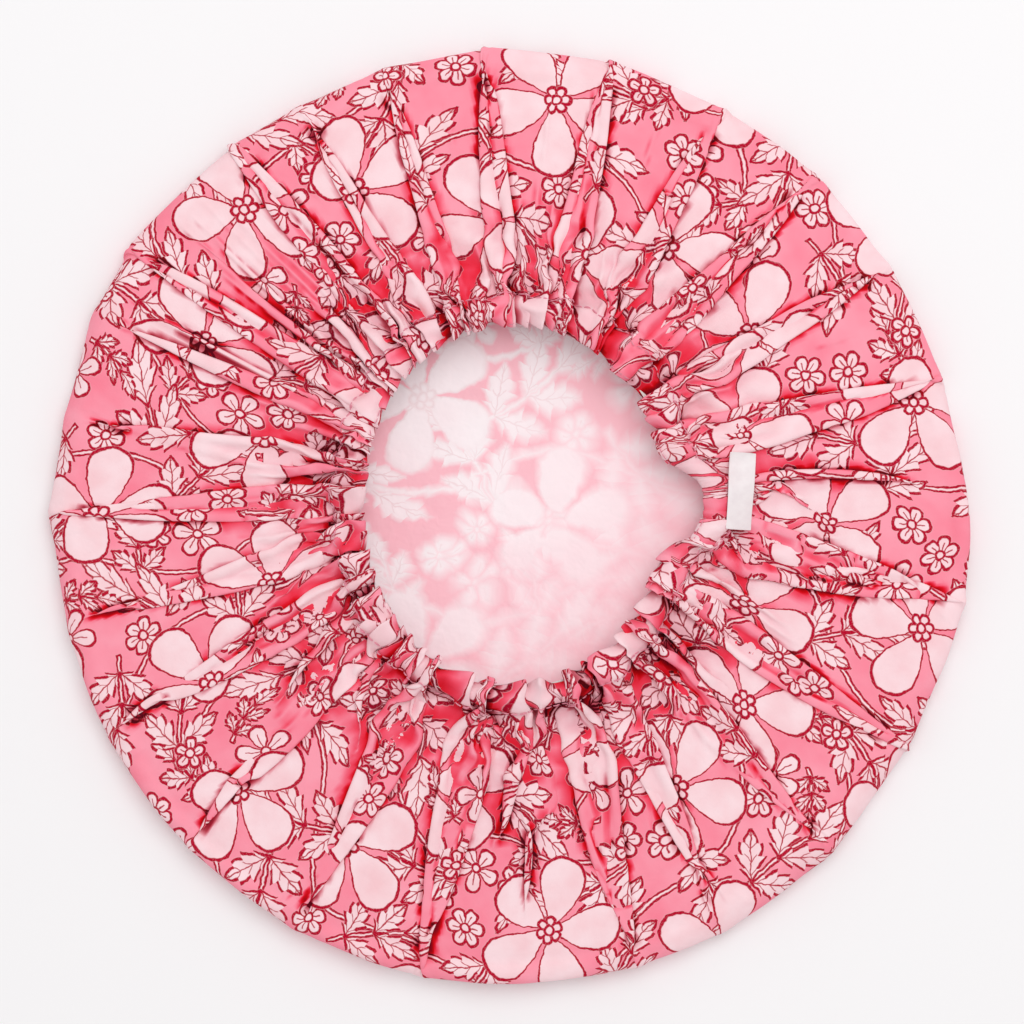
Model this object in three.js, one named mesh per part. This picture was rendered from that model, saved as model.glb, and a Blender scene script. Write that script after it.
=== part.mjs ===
import * as THREE from "three";

// A lined fabric shower cap that lies flat on its crown, with its mouth up.
// A cotton shell and a waterproof film liner are cut as equal discs and sewn together round the mouth.
// An elastic band in a stitched casing gathers the mouth, which throws the turned-up side into knife pleats.
// Millimetres, +Z up. The crown lies on z = 0, and the origin is under the middle of the cap.

const degrees = Math.PI / 180;

// The crown and its fold.
const capRadius = 150;
const rimHeight = 12;
const rimRun = 7;
const rimTurns = [-90, -30, 30, 90];
// How far the rim draws in between two folds.
const rimDip = 2;

// The mouth: an oval about its own centre, with one relaxed bay beside the label.
const mouthCentreX = 3.6;
const mouthCentreY = 1.9;
const mouthRadius = 53.3;
const mouthOval = 4.5;
const bayDepth = 12;
const bayAngle = -1;
const bayHalfAngle = 13;
const mouthHeight = 18;

// The casing round the mouth, from its edge to its row of stitches.
const casingWidth = 9;
const casingPuff = 4;
const casingDrop = 2;

// The two layers of cloth, drawn thicker than cloth is, and the clearance between pieces that touch.
const shellThickness = 0.6;
const linerThickness = 0.4;
const clearance = 0.3;
const layerGap = 0.5;

// The elastic band, whose ends lap over each other and are sewn down.
const elasticWidth = 5;
const elasticThickness = 0.8;
const elasticLap = 14;
const elasticJoinAngle = 199;

// Sewing thread.
const threadRadius = 0.35;
const seamThreadRadius = 0.25;
const seamInset = 0.9;
const joinThreadRadius = 0.25;
const joinThreadWidth = 2;
const joinThreadCrossings = 6;

// The label: a ribbon folded double, sewn down along its inner edge.
const labelLength = 25;
const labelWidth = 8;
const labelHeight = 0.9;
const labelLeaf = 0.3;
const labelAngle = 3.5;

// Knife pleats: where each fold's ridge meets the rim, in degrees from +X, and its height at the stitches.
const foldAngles = [
  15.5, 31.5, 46, 61, 76.5, 93, 106, 117, 128.5, 148.5, 157.5, 170, 182.5, 196, 210, 226, 243, 260, 286,
  297, 312, 328, 347.5,
];
const foldHeight = 4;
// How far to each side of the label the folds stay low.
const calmHalfAngle = 20;
// How far the rim reaches at each of these folds, as a share of the cap's radius.
const rimShares = [
  0.995, 0.99, 0.995, 0.99, 1, 1, 0.99, 0.97, 0.99, 1, 1, 0.97, 0.995, 0.965, 0.985, 0.985, 1.005, 1.015,
  1.02, 1.03, 1.03, 1.02, 1,
];
// One pleat from ridge to ridge: the share of its width, and the share of its height there.
const pleatShares = [
  [0, 1],
  [0.18, 0],
  [0.6, 0.3],
];
// Rows of the turned-up side from the rim to the stitches: the share of the way, of the rise to the mouth
// and of the folds' height. The side sags on to the crown and rises steeply beside the stitches.
const sideShares = [
  [0.35, 0.12, 0.4],
  [0.7, 0.42, 0.85],
  [1, 1, 1],
];

// The difference of two angles in degrees, from -180 to 180.
function turnBetween(from, to) {
  const turn = (to - from) % 360;
  return turn > 180 ? turn - 360 : turn < -180 ? turn + 360 : turn;
}

// How far an angle lies inside a stretch of the rim: 1 over its flat middle, 0 well outside.
function insideShare(middle, halfAngle, angle) {
  return Math.exp(-((turnBetween(middle, angle) / halfAngle) ** 4));
}

function mouthEdge(angle) {
  const turn = angle * degrees;
  const bay = bayDepth * insideShare(bayAngle, bayHalfAngle, angle);
  const radius = mouthRadius - mouthOval * Math.cos(2 * turn) + bay;
  return new THREE.Vector2(mouthCentreX + radius * Math.cos(turn), mouthCentreY + radius * Math.sin(turn));
}

function rimPoint(angle, radius) {
  return new THREE.Vector2(radius * Math.cos(angle * degrees), radius * Math.sin(angle * degrees));
}

// A point at a distance out from the mouth's edge, along the line to the rim at the same angle.
function outFromMouth(angle, distance) {
  const edge = mouthEdge(angle);
  const outward = rimPoint(angle, capRadius - rimRun).sub(edge).normalize();
  return edge.addScaledVector(outward, distance);
}

// The columns that the gathered pieces share: an angle, the rim's reach and the share of the folds' height.
const columns = foldAngles.flatMap((angle, fold) => {
  const next = (fold + 1) % foldAngles.length;
  const width = turnBetween(angle, foldAngles[next]);
  return pleatShares.map(([widthShare, heightShare]) => {
    const at = angle + width * widthShare;
    const reach = capRadius * THREE.MathUtils.lerp(rimShares[fold], rimShares[next], widthShare);
    const share = heightShare * (1 - insideShare(labelAngle, calmHalfAngle, at));
    return { angle: at, reach: reach - rimDip * (1 - heightShare), share };
  });
});

// The share of the folds' height at any angle, straight from column to column.
function foldShareAt(angle) {
  const column = columns.findIndex((from, i) => {
    const to = columns[(i + 1) % columns.length];
    return turnBetween(from.angle, angle) >= 0 && turnBetween(angle, to.angle) > 0;
  });
  const from = columns[column];
  const to = columns[(column + 1) % columns.length];
  const way = turnBetween(from.angle, angle) / turnBetween(from.angle, to.angle);
  return THREE.MathUtils.lerp(from.share, to.share, way);
}

// The layers' faces: how far each lies inside the shell's outer face, and how it leaves it in the casing.
const seamSplit = seamThreadRadius + clearance - layerGap / 2;
const linerInset = shellThickness + layerGap;
const shellOuter = { inset: 0, puff: casingPuff, split: seamSplit };
const shellInner = { inset: shellThickness, puff: casingPuff, split: seamSplit };
const linerOuter = { inset: linerInset, puff: -casingDrop, split: -seamSplit };
const linerInner = { inset: linerInset + linerThickness, puff: -casingDrop, split: -seamSplit };
// The level midway between the layers, on which the elastic lies.
const betweenLayers = shellThickness + layerGap / 2;

// One face along a column, from the crown's middle, round the rim and up to the mouth's edge.
function faceProfile(column, face) {
  const at = (spot, z) => new THREE.Vector3(spot.x, spot.y, z);
  const points = [new THREE.Vector3(0, 0, face.inset)];
  for (const turn of rimTurns) {
    const radius = column.reach - rimRun + (rimRun - face.inset) * Math.cos(turn * degrees);
    const z = rimHeight / 2 + (rimHeight / 2 - face.inset) * Math.sin(turn * degrees);
    points.push(at(rimPoint(column.angle, radius), z));
  }
  const rimTop = rimPoint(column.angle, column.reach - rimRun);
  const stitches = outFromMouth(column.angle, casingWidth);
  for (const [way, rise, height] of sideShares) {
    const level = THREE.MathUtils.lerp(rimHeight, mouthHeight, rise);
    const z = level - face.inset + foldHeight * height * column.share;
    points.push(at(rimTop.clone().lerp(stitches, way), z));
  }
  const level = mouthHeight - face.inset + foldHeight * column.share;
  points.push(at(outFromMouth(column.angle, casingWidth / 2), level + face.puff));
  points.push(at(mouthEdge(column.angle), level + face.split));
  return points;
}

// Turns quads and triangles, given as lists of points, into one closed geometry without empty faces.
function closedGeometry(faces) {
  const positions = [];
  const triangle = (a, b, c) => {
    if (!a.equals(b) && !b.equals(c) && !c.equals(a)) positions.push(...a, ...b, ...c);
  };
  for (const [a, b, c, d] of faces) {
    triangle(a, b, c);
    if (d) triangle(a, c, d);
  }
  const geometry = new THREE.BufferGeometry();
  geometry.setAttribute("position", new THREE.Float32BufferAttribute(positions, 3));
  geometry.computeVertexNormals();
  return geometry;
}

// A layer of cloth: its outer profile and its inner profile at each column, joined at the mouth's edge.
// Both of its faces are split along the same diagonals, so that their distance stays even.
function layerGeometry(outerFace, innerFace) {
  const outer = columns.map((column) => faceProfile(column, outerFace));
  const inner = columns.map((column) => faceProfile(column, innerFace));
  const faces = [];
  columns.forEach((_, i) => {
    const k = (i + 1) % columns.length;
    const edge = outer[i].length - 1;
    for (let j = 0; j < edge; j++) {
      faces.push([outer[i][j], outer[k][j], outer[k][j + 1], outer[i][j + 1]]);
      faces.push([inner[k][j + 1], inner[k][j], inner[i][j], inner[i][j + 1]]);
    }
    faces.push([outer[i][edge], outer[k][edge], inner[k][edge], inner[i][edge]]);
  });
  return closedGeometry(faces);
}

// A strip or thread: sections of equal length in order, either closed on itself or with two ends.
function loftGeometry(sections, closed) {
  const faces = [];
  const last = closed ? sections.length : sections.length - 1;
  for (let i = 0; i < last; i++) {
    const section = sections[i];
    const next = sections[(i + 1) % sections.length];
    section.forEach((point, j) => {
      const k = (j + 1) % section.length;
      faces.push([point, next[j], next[k], section[k]]);
    });
  }
  if (!closed) {
    const cap = (section) => section.slice(2).map((point, j) => [section[0], section[j + 1], point]);
    faces.push(...cap(sections[0]), ...cap([...sections.at(-1)].reverse()));
  }
  return closedGeometry(faces);
}

// A point of the casing: its angle, its distance out from the mouth's edge and its height over the elastic.
function casingPoint(angle, share, distance, height) {
  const spot = outFromMouth(angle, distance);
  return new THREE.Vector3(spot.x, spot.y, mouthHeight - betweenLayers + foldHeight * share + height);
}

// A round of thread at a distance out from the mouth's edge, with a section of four sides.
function threadRing(distance, height, radius) {
  const sections = columns.map(({ angle, share }) => [
    casingPoint(angle, share, distance - radius, height),
    casingPoint(angle, share, distance, height + radius),
    casingPoint(angle, share, distance + radius, height),
    casingPoint(angle, share, distance, height - radius),
  ]);
  return loftGeometry(sections.reverse(), true);
}

// The angle that the lap takes up, from the length of one degree of the mouth's edge.
const lapTurn = elasticLap / mouthEdge(elasticJoinAngle).distanceTo(mouthEdge(elasticJoinAngle + 1));

// The columns' angles past the join, in order. Each strip and thread bends there, as the cloth does.
const columnTurns = columns
  .map(({ angle }) => (((angle - elasticJoinAngle) % 360) + 360) % 360)
  .filter((turn) => turn > 0)
  .sort((a, b) => a - b);

// The elastic band: once round from its join, then up over its own start for the length of the lap.
function elasticGeometry() {
  const lapped = [0, ...columnTurns.filter((turn) => turn < lapTurn), lapTurn].map((turn) => turn + 360);
  const lapRise = elasticThickness + clearance;
  // The climb on to the lap ends one clearance before the start of the band.
  const climbEnd = 360 - lapTurn / joinThreadCrossings;
  const flat = [0, ...columnTurns].filter((turn) => turn < climbEnd - lapTurn / 2);
  const path = [
    ...flat.map((turn) => [turn, 0]),
    [climbEnd, lapRise],
    ...columnTurns.filter((turn) => turn > climbEnd).map((turn) => [turn, lapRise]),
    ...lapped.map((turn) => [turn, lapRise]),
  ];
  const inner = (casingWidth - elasticWidth) / 2;
  const outer = inner + elasticWidth;
  const sections = path.map(([turn, rise]) => {
    const angle = elasticJoinAngle + turn;
    const share = foldShareAt(angle);
    const corner = (distance, side) => {
      return casingPoint(angle, share, distance, rise + (side * elasticThickness) / 2);
    };
    return [corner(inner, -1), corner(outer, -1), corner(outer, 1), corner(inner, 1)];
  });
  return loftGeometry(sections, false);
}

// The zigzag that holds the lapped ends together, on top of the lap.
function joinThreadGeometry() {
  const lapTop = elasticThickness / 2 + clearance + elasticThickness;
  const height = lapTop + clearance + joinThreadRadius;
  const crossing = lapTurn / (joinThreadCrossings + 1);
  const corners = Array.from({ length: joinThreadCrossings + 1 }, (_, i) => (i + 0.5) * crossing);
  const bends = columnTurns.filter((turn) => turn > corners[0] && turn < corners.at(-1));
  const path = [...corners, ...bends].sort((a, b) => a - b);
  const sections = path.map((turn) => {
    const angle = elasticJoinAngle + turn;
    // From side to side: -1 at the even corners and 1 at the odd ones.
    const phase = (turn - corners[0]) / crossing / 2;
    const side = 4 * Math.abs(phase - Math.floor(phase + 0.5)) - 1;
    const distance = (casingWidth + side * joinThreadWidth) / 2;
    const share = foldShareAt(angle);
    const corner = (out, up) => {
      return casingPoint(angle, share, distance + out * joinThreadRadius, height + up * joinThreadRadius);
    };
    return [corner(-1, -1), corner(1, -1), corner(1, 1), corner(-1, 1)];
  });
  return loftGeometry(sections, false);
}

// The label's section is a flat U that opens at the stitches, and it is extruded along the stitches.
function labelGeometry() {
  const bend = labelHeight / 2;
  const shape = new THREE.Shape();
  shape.moveTo(0, 0);
  shape.lineTo(labelWidth - bend, 0);
  shape.absarc(labelWidth - bend, bend, bend, -Math.PI / 2, Math.PI / 2, false);
  shape.lineTo(0, labelHeight);
  shape.lineTo(0, labelHeight - labelLeaf);
  shape.lineTo(labelWidth - bend, labelHeight - labelLeaf);
  shape.absarc(labelWidth - bend, bend, bend - labelLeaf, Math.PI / 2, -Math.PI / 2, true);
  shape.lineTo(0, labelLeaf);
  const settings = { depth: labelLength, bevelEnabled: false, curveSegments: 4 };
  const geometry = new THREE.ExtrudeGeometry(shape, settings);
  geometry.translate(0, 0, -labelLength / 2);
  geometry.rotateX(Math.PI / 2);
  return geometry;
}

// The label lies on the side, which falls away from the stitches, and it clears the folds under it.
function labelPlace() {
  const stitches = outFromMouth(labelAngle, casingWidth);
  const run = capRadius - rimRun - stitches.length();
  const [lastWay, lastRise] = sideShares.at(-2);
  const halfTurn = Math.atan(labelLength / 2 / stitches.x) / degrees;
  const ends = [labelAngle - halfTurn, labelAngle + halfTurn].map(foldShareAt);
  const under = columns.filter((column) => Math.abs(turnBetween(labelAngle, column.angle)) < halfTurn);
  const highestFold = Math.max(...ends, ...under.map((column) => column.share));
  return {
    x: stitches.x + threadRadius + clearance,
    y: stitches.y,
    z: mouthHeight + foldHeight * highestFold + clearance,
    slope: Math.atan(((1 - lastRise) * (mouthHeight - rimHeight)) / ((1 - lastWay) * run)),
  };
}

function material(color, roughness) {
  return new THREE.MeshStandardMaterial({ color, roughness, metalness: 0 });
}

const cotton = material(0xf58aa0, 0.85);
const film = material(0xf7dfe4, 0.4);
const elastic = material(0xf4f1ee, 0.8);
const thread = material(0xee8fa6, 0.6);
const satin = material(0xf1edee, 0.45);

function named(name, geometry, finish) {
  const mesh = new THREE.Mesh(geometry, finish);
  mesh.name = name;
  return mesh;
}

const showerCap = new THREE.Group();
showerCap.add(named("outer_shell", layerGeometry(shellOuter, shellInner), cotton));
showerCap.add(named("waterproof_liner", layerGeometry(linerOuter, linerInner), film));

const needleHeight = betweenLayers + clearance + threadRadius;
const bobbinHeight = betweenLayers - linerInset - linerThickness - clearance - threadRadius;
const mouthRing = new THREE.Group();
mouthRing.add(named("elastic_band", elasticGeometry(), elastic));
mouthRing.add(named("elastic_join_thread", joinThreadGeometry(), thread));
mouthRing.add(named("casing_needle_thread", threadRing(casingWidth, needleHeight, threadRadius), thread));
mouthRing.add(named("casing_bobbin_thread", threadRing(casingWidth, bobbinHeight, threadRadius), thread));
mouthRing.add(named("mouth_seam_thread", threadRing(seamInset, 0, seamThreadRadius), thread));
showerCap.add(mouthRing);

const label = named("label", labelGeometry(), satin);
const place = labelPlace();
label.position.set(place.x, place.y, place.z);
label.rotation.y = place.slope;
showerCap.add(label);

// The origin is under the middle of the finished cap's box.
const middle = new THREE.Box3().setFromObject(showerCap).getCenter(new THREE.Vector3());
showerCap.position.set(-middle.x, -middle.y, 0);

export default showerCap;
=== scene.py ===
import math

import bpy
import numpy as np
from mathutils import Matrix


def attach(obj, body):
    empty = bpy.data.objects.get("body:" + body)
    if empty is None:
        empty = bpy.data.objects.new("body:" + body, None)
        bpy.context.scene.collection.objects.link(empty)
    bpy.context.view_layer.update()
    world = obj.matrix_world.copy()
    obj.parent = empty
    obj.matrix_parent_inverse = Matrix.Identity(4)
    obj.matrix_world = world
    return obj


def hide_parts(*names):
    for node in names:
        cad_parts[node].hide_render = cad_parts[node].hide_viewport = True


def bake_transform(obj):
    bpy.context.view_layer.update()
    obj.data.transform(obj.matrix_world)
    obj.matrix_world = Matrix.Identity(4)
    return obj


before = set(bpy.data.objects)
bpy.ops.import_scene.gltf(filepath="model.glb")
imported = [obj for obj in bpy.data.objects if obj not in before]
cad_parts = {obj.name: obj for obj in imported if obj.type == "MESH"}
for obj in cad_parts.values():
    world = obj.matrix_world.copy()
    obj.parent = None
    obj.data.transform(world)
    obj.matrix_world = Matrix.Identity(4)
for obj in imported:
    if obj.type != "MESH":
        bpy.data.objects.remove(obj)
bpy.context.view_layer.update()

# A gathered, lined shower cap, lying on its crown with its mouth up.
# Its cloth is simulated from its flat cut. Lengths are millimetres up to new_piece, which makes them metres.
MM = 0.001
DEG = math.pi / 180
TURN = 2 * math.pi


# The cut cloth: a disc whose middle lies on the table, with a row of stitches near its edge.
CUT_RADIUS = 254.0
CASING = 9.0
STITCH_RHO = CUT_RADIUS - CASING
PINNED_RHO = 124.0
COLUMNS = 1024
ROWS = 52

# Where the middle of the photographed outline lies over the row's origin.
PHOTO_SHIFT = (0.69, 0.39)

# The cap as it lies: the middle of the cut disc under it, and the stitches round the mouth, which is an oval with
# a relaxed bay beside the label.
CUT_MIDDLE = (0.5, -9.0)
MOUTH_MIDDLE = (4.3, 2.3)
MOUTH_RADIUS = 53.3
MOUTH_OVAL = 4.5
BAY_DEPTH = 12.0
BAY_ANGLE = -1 * DEG
BAY_HALF = 13 * DEG
STITCH_HEIGHT = 17.6
LABEL_ANGLE = 3.5 * DEG
CALM_HALF = 14 * DEG

# The side is gathered to this share of its true fullness, which keeps its layers apart.
FULLNESS_SHARE = 0.74

# Knife pleats: where each crease meets the rim, in degrees, which way its edge points, and how far the rim
# reaches there. 1 is on round the mouth, and -1 is back.
CREASES = [
    (15.5, -1, 149.3), (31.5, -1, 148.5), (46, -1, 149.3), (61, -1, 148.5), (76.5, -1, 150.3), (93, -1, 150.5),
    (106, -1, 148.5), (117, -1, 146), (128.5, -1, 148.5), (148.5, -1, 149.5), (157.5, -1, 148.8),
    (170, -1, 146), (182.5, -1, 148.5), (196, 1, 145), (210, 1, 147.8), (226, 1, 147.8), (243, 1, 150.5),
    (260, 1, 152.3), (286, 1, 153.5), (297, -1, 155), (312, 1, 155), (328, -1, 153.5), (347.5, -1, 150.5),
]
# How far the rim dips between two creases, which it does in full where they are this many degrees apart.
RIM_DIP = 1.8
RIM_DIP_FULL = 14
# Shares of the panels' width: the cloth folded under a pleat, the cloth that eases beside it, and the overlap at
# which its layers have their whole height.
UNDER_SHARE = 0.1
EASE_SHARE = 0.35
OVERLAP_SHARE = 0.15
# The layers that the cloth lies on at a pleat's five points, in the order of a pleat whose edge points on.
PLEAT_LAYERS = (1.7, 2.0, 1.3, 0.5, 0.1)
FOLD_GAP = 1.3
# How many times over the cloth lies folded on itself in the knife pleats at the stitches, at most.
PLEAT_MOST = 1.6

# Small pleats at the row of stitches: how uneven their widths are, between which shares of the usual width, and how
# much longer the cloth in them is than the mouth.
PLEATS = 78
PLEAT_SPREAD = 0.62
PLEAT_SHARES = (0.35, 2.8)
PLEAT_LENGTH = 1.1
PLEAT_USUAL = 6.0
# How deep one column's pleat is beside the next one's, and how much calmer the pleats are at the label.
PLEAT_DEPTHS = (0.75, 1.25)
PLEAT_CALM = 0.85
# Their shape: how square, how high, how far they lean, and the waves round the mouth that say which way.
PLEAT_SQUARE = 1.6
PLEAT_RISE = 0.30
PLEAT_LEAN = 0.55
LEAN_WAVES = ((2.5, 3, 0.6), (1.2, 7, 2.0))
# How far the stitches and the mouth's edge go in and out with the small pleats.
STITCH_SCALLOP = 0.5
SCALLOP = 2.0
# How much flatter the pleats' undersides lie over the elastic.
UNDERSIDE_LOSS = 0.6


def near_share(angle, middle, half):
    """1 over the flat middle of a stretch of the rim, 0 well outside it."""
    turn = (angle - middle + math.pi) % TURN - math.pi
    return np.exp(-((turn / half) ** 4))


def smooth_step(share):
    share = np.clip(share, 0, 1)
    return share * share * (3 - 2 * share)


def smooth_ring(values, passes):
    for _ in range(passes):
        values = (np.roll(values, 1) + 2 * values + np.roll(values, -1)) / 4
    return values


def round_about(middle, radius, angle, height):
    """Points at a radius and angle about an upright axis."""
    return np.stack([middle[0] + radius * np.cos(angle), middle[1] + radius * np.sin(angle), height], -1)


def mouth_radius(angle):
    bay = BAY_DEPTH * near_share(angle, BAY_ANGLE, BAY_HALF)
    return MOUTH_RADIUS - MOUTH_OVAL * np.cos(2 * angle) + bay


class Pleats:
    """The small pleats along the stitches: where each column stands in its pleat, and how deep the pleat is."""

    def __init__(self, around, rng):
        self.angle, layers = knife_pleats(around, PLEAT_MOST, 1)
        widths = np.clip(np.exp(rng.normal(0, PLEAT_SPREAD, PLEATS)), *PLEAT_SHARES)
        edges = np.concatenate([[0], np.cumsum(widths)])
        edges *= TURN / edges[-1]
        self.phase = np.interp(around, edges, TURN * np.arange(PLEATS + 1)) - math.pi / 2
        index = np.searchsorted(edges, around, side="right") - 1
        width = smooth_ring(np.diff(edges)[np.clip(index, 0, PLEATS - 1)], passes=5)
        self.calm = 1 - PLEAT_CALM * near_share(around, LABEL_ANGLE, CALM_HALF)
        self.length = width * mouth_radius(around) * PLEAT_LENGTH
        self.way = np.tanh(sum(size * np.sin(count * around + phase) for size, count, phase in LEAN_WAVES))
        self.layers = smooth_ring(layers, passes=3)
        self.spread = smooth_ring(rng.uniform(*PLEAT_DEPTHS, len(around)), passes=9)


def casing_curve(pleats, inward, grown=1.0, lift=0.0, rise=1.0, over=0.0):
    """The casing's cloth at a distance in from the stitches, in small pleats that lean along the mouth."""
    wave = np.tanh(PLEAT_SQUARE * np.sin(pleats.phase)) * pleats.calm * pleats.spread * grown
    radius = mouth_radius(pleats.angle) + CASING - inward + STITCH_SCALLOP * wave - SCALLOP * wave * inward / CASING
    narrow = PLEAT_USUAL * (pleats.length / PLEAT_USUAL) ** 0.5
    lean = PLEAT_LEAN * narrow * pleats.way * wave
    height = np.where(wave < 0, 1 - UNDERSIDE_LOSS * over, 1) * wave
    layers = FOLD_GAP * pleats.layers * pleats.calm
    z = STITCH_HEIGHT + lift + layers + rise * PLEAT_RISE * narrow * height
    return round_about(MOUTH_MIDDLE, radius, pleats.angle + lean / radius, z)


def seen_from_cut(angles, reaches):
    """Directions and distances from the outline's middle, in degrees, as they are from the cut's middle."""
    x = PHOTO_SHIFT[0] + reaches * np.cos(angles * DEG) - CUT_MIDDLE[0]
    y = PHOTO_SHIFT[1] + reaches * np.sin(angles * DEG) - CUT_MIDDLE[1]
    return np.unwrap(np.arctan2(y, x)), np.hypot(x, y)


def outline_reach(around):
    """How far the rim lies from the cut's middle: a corner at each crease, and a shallow dip between two."""
    angles, _, reaches = (np.array(part) for part in zip(*CREASES))
    turns = np.linspace(0, 360, 721)
    reach = np.interp(turns, angles, reaches, period=360)
    index = np.searchsorted(angles, turns % 360, side="right")
    low, high = np.append(angles[-1] - 360, angles)[index], np.append(angles, angles[0] + 360)[index]
    share = (turns % 360 - low) / (high - low)
    reach -= RIM_DIP * (1 - (2 * share - 1) ** 2) * np.minimum(1, (high - low) / RIM_DIP_FULL)
    return np.interp(around, *seen_from_cut(turns, reach), period=TURN)


def wrapped(values, extra):
    """A ring's values with the two last before them and the two first after them."""
    return np.concatenate([values[-2:] - extra, values, values[:2] + extra])


def knife_pleats(around, fullness, begun):
    """Where the cloth at each angle lies once it is pleated, by rows: its angle, and how many layers it lies on.

    fullness is how many times longer the cloth is than the ring that it lies on, and begun is 0 where the
    pleats have not started yet.
    """
    angles, ways, reaches = (np.array(part) for part in zip(*CREASES))
    angles, _ = seen_from_cut(angles, reaches)
    before = (angles - np.roll(angles, 1)) % TURN
    width = (before + np.roll(before, -1)) / 2
    under, ease = UNDER_SHARE * width, EASE_SHARE * width
    slip = begun * under + np.maximum(fullness - 1, 0) * width / 4
    overlap = np.maximum(2 * (slip - begun * under), 0)
    rest = np.stack([angles - under - ease, angles - under, angles, angles + under, angles + under + ease])
    lies = np.stack([rest[0], rest[1] + slip, angles, rest[3] - slip, rest[4]])
    lift = np.clip(overlap / (OVERLAP_SHARE * width), 0, 1)
    heights = [np.where(ways > 0, on, back) for on, back in zip(PLEAT_LAYERS, PLEAT_LAYERS[::-1])] * lift
    rest, lies, heights = (part.T.ravel() for part in (rest, lies, heights))
    order = np.argsort(rest % TURN)
    known = (rest % TURN)[order]
    angle = np.interp(around, wrapped(known, TURN), wrapped(known + (lies - rest)[order], TURN))
    return angle, np.interp(around, wrapped(known, TURN), wrapped(heights[order], 0))


class Cloth:
    """The side of the cap as a grid of points, rows by columns, that gathers as its rows grow to their cut length."""

    # The rim's half oval, and the table's top with half the cloth's thickness on it.
    RIM_RUN = 7.0
    RIM_HEIGHT = 12.5
    TABLE = 0.3
    # What fills the cap: its middle and radius, and the level of its top near the rim and near the mouth.
    FILLING_MIDDLE = (3.3, -3.8)
    FILLING_RADIUS = 147.5
    FILLING = (11.0, 14.5)
    # How far the side may rise over its straight way, at the rim and at the mouth.
    LID = (4.0, 9.0)
    # The radius of the ring that a row lies on at the rim, and how much less it is at the stitches.
    RING = (142, 80)
    # Bends: how many columns apart, how close such points may come as a share of the cloth between, how stiff.
    BENDS = ((2, 0.86, 0.3), (4, 0.66, 0.12))
    # How deep the small pleats are before the cloth gathers, and how far apart its layers are kept.
    FIRST_PLEATS = 0.3
    LAYER_GAP = 1.25

    def __init__(self, rng, layers_before_fold=8):
        self.around = TURN * np.arange(COLUMNS) / COLUMNS
        self.rho = np.linspace(PINNED_RHO, STITCH_RHO, ROWS)
        self.step = self.rho[1] - self.rho[0]
        self.pleats = Pleats(self.around, rng)
        self.free = np.ones((ROWS, 1, 1))
        self.free[0] = self.free[-1] = 0
        self.points = self.start(rng)
        self.first_hoops = np.linalg.norm(np.roll(self.points, -1, 1) - self.points, axis=2)
        rho, fold = self.rho[:, None], self.fold_rho
        full = np.where(rho > fold, fold + FULLNESS_SHARE * (rho - fold), rho) * TURN / COLUMNS
        self.full_hoops = np.maximum(full, self.first_hoops)
        self.speed = np.zeros_like(self.points)
        self.loose = np.nonzero(np.repeat(self.rho > fold.min() - layers_before_fold, COLUMNS))[0]
        self.row = np.repeat(np.arange(ROWS), COLUMNS)[self.loose]
        self.column = np.tile(np.arange(COLUMNS), ROWS)[self.loose]

    def start(self, rng, sink=0.85, inward=0.8, no_lid=99, begun=0.2, filled=0.3, layered=0.15, rough=0.05):
        """The cloth turned up round the rim and straight on to the stitches, with shallow folds to grow from.

        The rim may sink to a share of its height and come inward. Pleats have begun, have all their cloth and lie on
        their layers from these shares of the way to the stitches on.
        """
        begin = smooth_ring(outline_reach(self.around), passes=3) - self.RIM_RUN
        half = self.RIM_HEIGHT / 2
        arc = math.pi * math.sqrt((self.RIM_RUN**2 + half**2) / 2)
        self.fold_rho = begin + arc / 2
        rho = self.rho[:, None]
        past = rho - begin
        turn = np.clip(past / arc, 0, 1) * math.pi - math.pi / 2
        radius = np.where(past < 0, rho, begin + self.RIM_RUN * np.cos(turn))
        height = self.TABLE + np.where(past < 0, 0, half + half * np.sin(turn))
        self.way = way = np.clip((past - arc) / (self.rho[-1] - begin - arc), 0, 1)
        self.upper = past > arc / 2
        self.rim = (past > 0) & (past < arc)
        self.rim_least = radius - inward
        self.rim_low = sink * height
        top = self.TABLE + self.RIM_HEIGHT * (1 - way) + STITCH_HEIGHT * way
        self.lid = np.where(self.upper, top + self.LID[0] * (1 - way) + self.LID[1] * way, no_lid)
        # Each row lies where its pleats put it, on the straight line from the rim to the stitches.
        points = np.empty((ROWS, COLUMNS, 3))
        crowded = (self.fold_rho + FULLNESS_SHARE * (rho - self.fold_rho)) / (self.RING[0] - self.RING[1] * way)
        ends = np.append(self.around, TURN)
        for row in range(ROWS):
            share = way[row].mean()
            fullness = 1 + (min(crowded[row].mean(), PLEAT_MOST) - 1) * min(1, share / filled)
            angle, layers = knife_pleats(self.around, fullness, min(1, share / begun))
            at = [np.interp(angle % TURN, ends, np.append(v, v[0])) for v in (radius[row], height[row])]
            rim = round_about(CUT_MIDDLE, at[0], angle, at[1])
            mouth = round_about(MOUTH_MIDDLE, mouth_radius(angle) + CASING, angle, np.full(COLUMNS, STITCH_HEIGHT))
            points[row] = rim * (1 - way[row][:, None]) + mouth * way[row][:, None]
            points[row, :, 2] += FOLD_GAP * layers * min(1, share / layered)
        points[-1] = casing_curve(self.pleats, 0, grown=self.FIRST_PLEATS)
        points[..., 2] += rng.normal(0, rough, (ROWS, COLUMNS)) * ((way > 0) & (way < 1))
        return points

    def pull(self, a, b, free_a, free_b, rest, share):
        """Moves two sets of points along their joining lines, towards their rest lengths."""
        apart = b - a
        length = lengths_of(apart)
        move = share * (length - rest) / (length * np.maximum(free_a + free_b, 1e-9)) * apart
        a += move * free_a
        b -= move * free_b

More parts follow.
